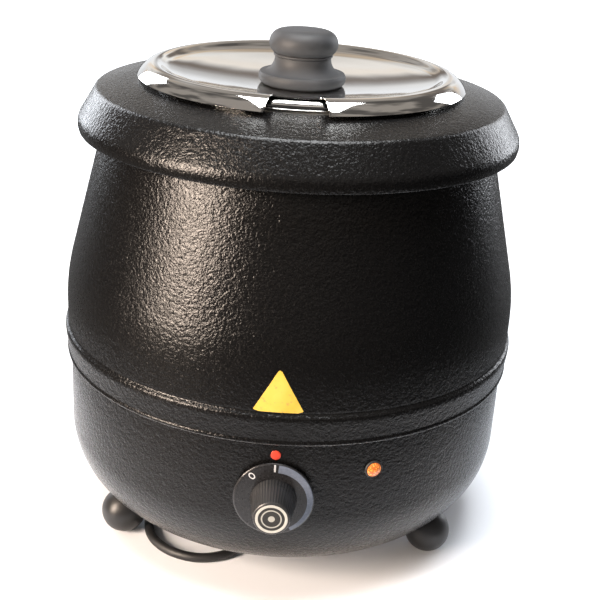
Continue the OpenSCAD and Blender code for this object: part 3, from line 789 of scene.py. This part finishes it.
def makeDot():
    low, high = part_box("index_dot")
    radius = (high.x - low.x) / 2 / mm
    dot = lathe("indexDotRed", rounded([(0, 0), (radius, 0, 0), (radius, 0.55, 0.5), (radius * 0.55, 0.88, 1.2),
                                        (0, 0.9)], closed=False), closed=False, steps=64)
    front = -low.y / mm - 0.9
    place(dot, facing(-90, front, (low.z + high.z) / 2 / mm))
    return dot


def makeBezel(plan):
    r, lens = plan["bezel"], plan["lens"]
    line = rounded([(lens + 0.05, 0, 0), (r, 0, 0), (r, 1.1, 0.5), (r - 0.6, 1.6, 0.4), (lens + 0.5, 1.6, 0.3),
                    (lens + 0.05, 1.2, 0.1)])
    bezel = lathe("lampBezel", line, steps=64)
    place(bezel, facing(plan["turn"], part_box("base_shell")[1].x / mm, plan["height"]))
    return bezel


def makeLens(plan):
    r = plan["lens"]
    line = [(0, -0.6), (r - 0.1, -0.6), (r, -0.3)] + arc((0, -4.4), plan["dome"], 44.4, 90, 12)
    lens = lathe("lampLensAmber", line, closed=False, steps=64)
    place(lens, facing(plan["turn"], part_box("base_shell")[1].x / mm + 1.2, plan["height"]))
    return lens


def litAmber():
    material, tree, shader = newMaterial("litAmber", (0.78, 0.20, 0.03), 0.16, Coat_Weight=0.5)
    shader.inputs["Emission Color"].default_value = (1.0, 0.22, 0.03, 1)
    shader.inputs["Emission Strength"].default_value = 0.7
    cells = addNode(tree, "ShaderNodeTexVoronoi", Scale=900)
    tree.links.new(objectPlace(tree), cells.inputs["Vector"])
    far = cells.outputs["Distance"]
    tree.links.new(mixColors(tree, spread(tree, far, 0, 1, 0.1, 0.6), (0.90, 0.38, 0.07), (0.45, 0.10, 0.02)),
                   shader.inputs["Base Color"])
    tree.links.new(mixColors(tree, spread(tree, far, 0, 1, 0.1, 0.6), (0.95, 0.40, 0.08), (0.50, 0.10, 0.02)),
                   shader.inputs["Emission Color"])
    addBump(tree, shader, far, 0.4, 0.0003)
    return material


labelPlan = {"wide": 34, "low": 159.8, "high": 190.8, "round": 1.6, "film": 0.22}


# distance of the barrel's skin from the axis at a height, in millimetres
def barrelRadius(z):
    low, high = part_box("upper_shell")
    radius, breakZ = high.x / mm - barrelPlan["belt"], low.z / mm + barrelPlan["breakUp"]
    big = barrelPlan["breakRound"]
    if z <= breakZ:
        return radius
    return radius - big + math.sqrt(big * big - (z - breakZ) ** 2)


# a flat film cut to a triangle with bisects, laid on the barrel and thickened
def makeLabel(plan):
    half, low, high = plan["wide"] / 2, plan["low"], plan["high"]
    middle = (low + high) / 2
    deselectAll()
    bpy.ops.mesh.primitive_grid_add(x_subdivisions=40, y_subdivisions=40, size=44 * mm, location=(0, 0, 0))
    film = bpy.context.object
    film.name = film.data.name = "triangleLabelFilm"
    editMode(film)
    corners = [Vector((-half, low - middle)), Vector((half, low - middle)), Vector((0, high - middle))]
    cuts = [(corners[i], (corners[(i + 1) % 3] - corners[i])) for i in range(3)]
    for i, corner in enumerate(corners):      # eases each corner with short cuts across it
        toCentre = -corner.normalized()
        for swing in (-30, 0, 30):
            normal = Matrix.Rotation(math.radians(swing), 2) @ toCentre
            cuts.append((corner + toCentre * plan["round"], Vector((normal.y, -normal.x))))
    for start, way in cuts:
        inward = Vector((-way.y, way.x)).normalized()
        bpy.ops.mesh.select_all(action="SELECT")
        bpy.ops.mesh.bisect(plane_co=(start.x * mm, start.y * mm, 0), plane_no=(inward.x, inward.y, 0),
                            clear_inner=True)
    bm = bmesh.from_edit_mesh(film.data)
    for v in bm.verts:
        z = v.co.y / mm + middle
        radius = barrelRadius(z) + 0.04
        turn = v.co.x / mm / radius
        v.co = Vector((radius * math.sin(turn), -radius * math.cos(turn), z)) * mm
    bmesh.update_edit_mesh(film.data)
    bpy.ops.mesh.select_all(action="SELECT")
    bpy.ops.mesh.normals_make_consistent(inside=False)
    objectMode()
    outwards = sum((f.normal.dot(Vector((f.center.x, f.center.y, 0))) for f in film.data.polygons))
    applyModifier(film, "SOLIDIFY", thickness=plan["film"] * mm, offset=1 if outwards > 0 else -1)
    return film


def wornFilm():
    material, tree, shader = newMaterial("yellowFilm", (0.70, 0.44, 0.06), 0.36, Coat_Weight=0.15)
    place3d = objectPlace(tree)
    wearAndSheen = noise(tree, place3d, 260, 4, 0.65)
    smudge = noise(tree, place3d, 60, 3)
    base = mixColors(tree, spread(tree, smudge, 0, 1), (0.66, 0.42, 0.055), (0.76, 0.53, 0.11))
    tree.links.new(mixColors(tree, spread(tree, wearAndSheen, 0, 0.75, 0.58, 0.72), base, (0.24, 0.18, 0.09)),
                   shader.inputs["Base Color"])
    tree.links.new(spread(tree, wearAndSheen, 0.28, 0.5), shader.inputs["Roughness"])
    addBump(tree, shader, wearAndSheen, 0.2, 0.00005)
    return material


redPlastic = grainedMaterial("redPlastic", (0.56, 0.055, 0.030), 0.34, 0, 900, 0.00005, 0.2, 0.12, 0.08)
finishPiece(makeDot(), "kettle_body", redPlastic, ("index_dot",), 40)
finishPiece(makeBezel(lampPlan), "kettle_body", blackMoulding, ("lamp_body",), 40)
finishPiece(makeLens(lampPlan), "kettle_body", litAmber(), ("lamp_lens",), 40)
finishPiece(makeLabel(labelPlan), "kettle_body", wornFilm(), ("triangle_label",))
print("lamp, dot and label made")


# what the cord passes through and ends in: gland, tie, plug and pins

glandPlan = {"turn": 90, "angle": -35, "across": 19, "nut": 5, "reliefRoot": 7.4, "reliefTip": 4.6,
             "long": 30, "ribs": 7}


def glandMatrix(plan):
    low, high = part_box("base_shell")
    middle = (high.x - bowlPlan["round"] * mm, low.z + bowlPlan["round"] * mm)
    return (Matrix.Rotation(math.radians(plan["turn"]), 4, "Z") @ Matrix.Translation((middle[0], 0, middle[1]))
            @ Matrix.Rotation(math.radians(90 - plan["angle"]), 4, "Y")
            @ Matrix.Translation((0, 0, bowlPlan["round"] * mm)))


def makeRelief(plan):
    start, tip, ribs = plan["nut"], plan["long"], plan["ribs"]
    line = [(3.6, -9), (6, -9), (6, 0.5), (plan["reliefRoot"], 0.5)]
    pitch = (tip - start - 2) / ribs
    for i in range(ribs):
        z = start + i * pitch
        r = plan["reliefRoot"] + (plan["reliefTip"] - plan["reliefRoot"]) * (z - start) / (tip - start)
        line += rounded([(r, z, 0), (r, z + pitch * 0.55, 0.3), (r - 0.9, z + pitch * 0.7, 0.3),
                         (r - 0.9, z + pitch * 0.95, 0)], closed=False, stepsPerCorner=3)
    line += rounded([(plan["reliefTip"] - 0.2, tip - 2, 0), (plan["reliefTip"] - 0.2, tip, 0.6), (3.6, tip, 0)],
                    closed=False, stepsPerCorner=3)
    relief = lathe("glandRelief", line, steps=64)
    place(relief, glandMatrix(plan))
    return relief


def makeGlandNut(plan):
    deselectAll()
    across = plan["across"] * mm
    bpy.ops.mesh.primitive_cylinder_add(vertices=6, radius=across / 2, depth=plan["nut"] * mm,
                                        location=(0, 0, plan["nut"] / 2 * mm + 0.4 * mm))
    nut = bpy.context.object
    nut.name = nut.data.name = "glandNutOuter"
    bpy.ops.object.transform_apply(location=True, rotation=True, scale=True)
    editMode(nut, "FACE")
    pickFaces(nut, lambda f: f.normal.z > 0.9)
    bpy.ops.mesh.inset(thickness=1.4 * mm)
    bpy.ops.mesh.extrude_region_move(TRANSFORM_OT_translate={"value": (0, 0, 0.5 * mm)})
    bpy.ops.transform.resize(value=(0.92, 0.92, 1))
    objectMode()
    applyModifier(nut, "BEVEL", width=0.0005, segments=3, limit_method="ANGLE", angle_limit=math.radians(25))
    place(nut, glandMatrix(plan))
    return nut


def makeTie():
    low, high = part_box("coil_tie")
    size = high - low
    deselectAll()
    bpy.ops.mesh.primitive_plane_add(size=mm, location=(0, 0, 0))
    tie = bpy.context.object
    tie.name = tie.data.name = "coilTieStrap"
    thick = 0.9 * mm
    corner = 4.0
    w, h = size.y / 2 / mm - 0.45, size.z / mm - 0.45
    line = rounded([(-w, 0.1, 0), (-w, h, corner), (w, h, corner), (w, 0.1, 0)], closed=False, stepsPerCorner=6)
    editMode(tie)
    bpy.ops.mesh.select_all(action="SELECT")
    bpy.ops.mesh.merge(type="CENTER")
    bpy.ops.transform.translate(value=(0, line[0][0] * mm, line[0][1] * mm))
    for a, b in zip(line, line[1:]):
        step = (0, (b[0] - a[0]) * mm, (b[1] - a[1]) * mm)
        bpy.ops.mesh.extrude_region_move(TRANSFORM_OT_translate={"value": step})
    bpy.ops.mesh.select_all(action="SELECT")
    bpy.ops.transform.translate(value=(-3.6 * mm, 0, 0))
    bpy.ops.mesh.extrude_region_move(TRANSFORM_OT_translate={"value": (7.2 * mm, 0, 0)})
    objectMode()
    applyModifier(tie, "SOLIDIFY", thickness=thick, offset=0)
    applyModifier(tie, "BEVEL", width=0.0002, segments=2, limit_method="ANGLE", angle_limit=math.radians(50))
    place(tie, Matrix.Translation(((low.x + high.x) / 2, (low.y + high.y) / 2, low.z)))
    return tie


plugPlan = {"body": 18.3, "grip": 17.2, "pin": 2.4, "apart": 9.5, "pinLong": 19}


def makePlug(plan):
    low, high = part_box("power_plug")
    long = (high.y - low.y) / mm
    line = [(3.6, 0), (5.2, 0)]
    for i in range(3):
        z = 2 + i * 4
        line += rounded([(5.4 + i * 0.4, z, 0), (5.4 + i * 0.4, z + 2.2, 0.3), (4.6 + i * 0.4, z + 2.8, 0.3),
                         (4.6 + i * 0.4, z + 3.8, 0)], closed=False, stepsPerCorner=3)
    line += rounded([(6.9, 14, 0), (9, 14.4, 0.8), (13, 20, 5), (plan["body"] - 0.4, 27, 3),
                     (plan["body"], 31, 1), (plan["grip"], 34, 1), (plan["grip"], 39, 1),
                     (plan["body"], 41.5, 1), (plan["body"], long, 1.0), (0, long, 0)], closed=False)
    plug = lathe("plugMoulding", line, closed=False, steps=96)
    turned = Matrix.Translation(((low.x + high.x) / 2, low.y, (low.z + high.z) / 2))
    place(plug, turned @ Matrix.Rotation(math.radians(-90), 4, "X"))
    return plug


def makePins(plan):
    low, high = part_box("plug_pins")
    pins = []
    for side in (-1, 1):
        r = plan["pin"]
        line = rounded([(0, 0), (r, 0, 0), (r, plan["pinLong"] - 2, 1.2), (r - 1.0, plan["pinLong"], 0.5),
                        (0, plan["pinLong"])], closed=False)
        pin = lathe("plugPin", line, closed=False, steps=48)
        place(pin, Matrix.Translation(((low.x + high.x) / 2 + side * plan["apart"] * mm, low.y,
                                       (low.z + high.z) / 2)) @ Matrix.Rotation(math.radians(-90), 4, "X"))
        pins.append(pin)
    deselectAll()
    for pin in pins:
        pin.select_set(True)
    bpy.context.view_layer.objects.active = pins[0]
    bpy.ops.object.join()
    pins[0].name = pins[0].data.name = "plugPinsNickel"
    return pins[0]


relief = finishPiece(makeRelief(glandPlan), "kettle_body", blackMoulding, ("cord_gland",), 40)
glandNut = finishPiece(makeGlandNut(glandPlan), "kettle_body", blackMoulding, (), 40)
tie = finishPiece(makeTie(), "kettle_body", blackMoulding, ("coil_tie",), 40)
plug = finishPiece(makePlug(plugPlan), "kettle_body", blackMoulding, ("power_plug",), 40)
pins = finishPiece(makePins(plugPlan), "kettle_body", nickelPlate, ("plug_pins",), 40)
print("gland, tie and plug made")


# finishes of the CAD nodes that keep their own meshes

nodeFinish = {
    "joint_ring": galvanisedSheet, "collar_gasket": siliconeSeal, "lid_knob_washer": zincPlate,
    "lid_knob_screw": zincPlate, "foot_studs": zincPlate, "foot_nuts": zincPlate,
    "bottom_plate": galvanisedSheet, "plate_screws": zincPlate, "tie_rods": zincPlate, "base_nuts": zincPlate,
    "clamp_nuts": zincPlate, "heating_element": heaterSheath, "element_clamp_plate": galvanisedSheet,
    "thermal_cutout": blackMoulding, "thermostat_body": creamMoulding, "thermostat_screws": zincPlate,
    "sensing_bulb": bareCopper, "bulb_clips": zincPlate, "capillary_tube": bareCopper, "knob_spring": zincPlate,
    "thermostat_spindle": turnedBrass, "lamp_nut": blackMoulding, "terminal_block": creamMoulding,
    "earth_stud": turnedBrass, "wiring_live": wireBrown, "wiring_neutral": wireBlue, "gland_nut": blackMoulding,
}


# green sleeve with a yellow stripe along it
def stripedSleeve():
    material, tree, shader = newMaterial("wireStriped", (0.08, 0.30, 0.05), 0.42)
    wave = addNode(tree, "ShaderNodeTexWave", Scale=55, Distortion=1.5)
    tree.links.new(objectPlace(tree, turn=(0.3, 0.5, 0)), wave.inputs["Vector"])
    tree.links.new(mixColors(tree, spread(tree, wave.outputs["Fac"], 0, 1, 0.45, 0.55),
                             (0.05, 0.26, 0.04), (0.72, 0.60, 0.04)), shader.inputs["Base Color"])
    return material


nodeFinish["wiring_earth"] = stripedSleeve()
for name, material in nodeFinish.items():
    nodes[name].data.materials.clear()
    nodes[name].data.materials.append(material)
print("CAD nodes finished")


# floor, sky and lights

stagePlan = {
    "floor": 9.0, "floorColor": (0.84, 0.87, 0.93), "litRadius": 0.20, "darkRadius": 0.42, "darkFloor": 0.02,
    "horizon": 1.0,
}
deselectAll()
bpy.ops.mesh.primitive_plane_add(size=stagePlan["floor"], location=(0, 0, 0))
floor = bpy.context.object
floor.name = floor.data.name = "studioFloor"
floorMaterial, floorTree, floorShader = newMaterial("floorPaper", stagePlan["floorColor"], 0.75)
floorPaper = noise(floorTree, objectPlace(floorTree), 300, 3)
addBump(floorTree, floorShader, floorPaper, 0.05, 0.0001)
# painted shade: the paper is pale to look at, and its colour is painted dark to the kettle beyond its own
# surroundings, standing in for floor in shade
floorRayPath = addNode(floorTree, "ShaderNodeLightPath")
floorCoords = addNode(floorTree, "ShaderNodeTexCoord")
floorDistance = addNode(floorTree, "ShaderNodeVectorMath", operation="LENGTH")
floorTree.links.new(floorCoords.outputs["Object"], floorDistance.inputs[0])
paintedShadeFade = spread(floorTree, floorDistance.outputs["Value"], 1, 0, stagePlan["litRadius"], stagePlan["darkRadius"])
unshadedShare = maths(floorTree, "MAXIMUM", paintedShadeFade, floorRayPath.outputs["Is Camera Ray"])
floorTree.links.new(mixColors(floorTree, unshadedShare, (stagePlan["darkFloor"],) * 3, stagePlan["floorColor"]),
                    floorShader.inputs["Base Color"])
floorShader.inputs["Emission Color"].default_value = (1, 1, 1, 1)
floorTree.links.new(maths(floorTree, "MULTIPLY", floorRayPath.outputs["Is Camera Ray"],
                          spread(floorTree, floorDistance.outputs["Value"], 0, 1, 0.7, 1.8)),
                    floorShader.inputs["Emission Strength"])
floor.data.materials.append(floorMaterial)

world = bpy.data.worlds.new("studioSky")
bpy.context.scene.world = world
world.use_nodes = True
skyTree = world.node_tree
skyTree.nodes.clear()
skyOut = addNode(skyTree, "ShaderNodeOutputWorld")
sky = addNode(skyTree, "ShaderNodeBackground")
skyPath = addNode(skyTree, "ShaderNodeLightPath")
skyCoords = addNode(skyTree, "ShaderNodeTexCoord")
skySplit = addNode(skyTree, "ShaderNodeSeparateXYZ")
skyTree.links.new(skyCoords.outputs["Generated"], skySplit.inputs[0])
behind = spread(skyTree, skySplit.outputs[1], 0, 1, 0.55, 0.95)
lowDown = spread(skyTree, skySplit.outputs[2], 1, 0.12, 0.42, 0.75)
roomPatches = addNode(skyTree, "ShaderNodeTexNoise", Scale=3.2, Detail=2.0)
skyTree.links.new(skyCoords.outputs["Generated"], roomPatches.inputs["Vector"])
roomTint = addNode(skyTree, "ShaderNodeTexNoise", Scale=5.5, Detail=1.5)
skyTree.links.new(skyCoords.outputs["Generated"], roomTint.inputs["Vector"])
warmOrWhite = mixColors(skyTree, spread(skyTree, roomTint.outputs["Fac"], 0, 1, 0.42, 0.62),
                        (1.0, 0.99, 0.97), (0.95, 0.74, 0.52))
patchy = mixColors(skyTree, spread(skyTree, roomPatches.outputs["Fac"], 0, 1, 0.40, 0.55),
                   (0.22, 0.19, 0.17), warmOrWhite)
nearHorizon = spread(skyTree, skySplit.outputs[2], 1, 0, 0.10, 0.26)
seen = mixColors(skyTree, nearHorizon, patchy, (0.95, 0.97, 1.0))
share = maths(skyTree, "MULTIPLY", behind, lowDown)
overHead = spread(skyTree, skySplit.outputs[2], 0, 1, 0.05, 0.35)
restOfRoom = mixColors(skyTree, maths(skyTree, "MULTIPLY", overHead, spread(
    skyTree, roomPatches.outputs["Fac"], 0.25, 1, 0.40, 0.55)), (0.02, 0.02, 0.022), (0.34, 0.31, 0.28))
roomColor = mixColors(skyTree, share, restOfRoom, seen)
skyColor = mixColors(skyTree, skyPath.outputs["Is Camera Ray"], roomColor, (1.0, 1.0, 1.0))
skyTree.links.new(skyColor, sky.inputs["Color"])
sky.inputs["Strength"].default_value = stagePlan["horizon"]
skyTree.links.new(sky.outputs[0], skyOut.inputs[0])

lights = {
    "warmBox": {"place": (-1.22, -0.97, 0.66), "size": (0.42, 0.9), "power": 74,
                "color": (1.0, 0.82, 0.67)},
    "topBox": {"place": (0.0, -0.12, 2.1), "size": (1.3, 1.4), "power": 84, "color": (0.97, 0.99, 1.0)},
    "frontCard": {"place": (0.0, -1.9, 1.25), "size": (2.6, 0.8), "power": 2, "color": (1.0, 0.93, 0.86)},
    "leftBox": {"place": (-1.4, 1.5, 0.8), "size": (0.7, 1.4), "power": 20, "color": (0.90, 0.94, 1.0)},
    "rightBox": {"place": (1.5, 1.4, 0.8), "size": (0.7, 1.4), "power": 20, "color": (0.92, 0.95, 1.0)},
}
for name, light in lights.items():
    data = bpy.data.lights.new(name, "AREA")
    data.shape = "RECTANGLE"
    data.size, data.size_y = light["size"]
    data.energy = light["power"]
    data.color = light["color"]
    lamp = bpy.data.objects.new(name, data)
    bpy.context.scene.collection.objects.link(lamp)
    lamp.location = light["place"]
    lamp.rotation_euler = (Vector((0, 0, 0.2)) - lamp.location).to_track_quat("-Z", "Y").to_euler()
bpy.context.scene.view_settings.view_transform = "Standard"
print("studio lit")
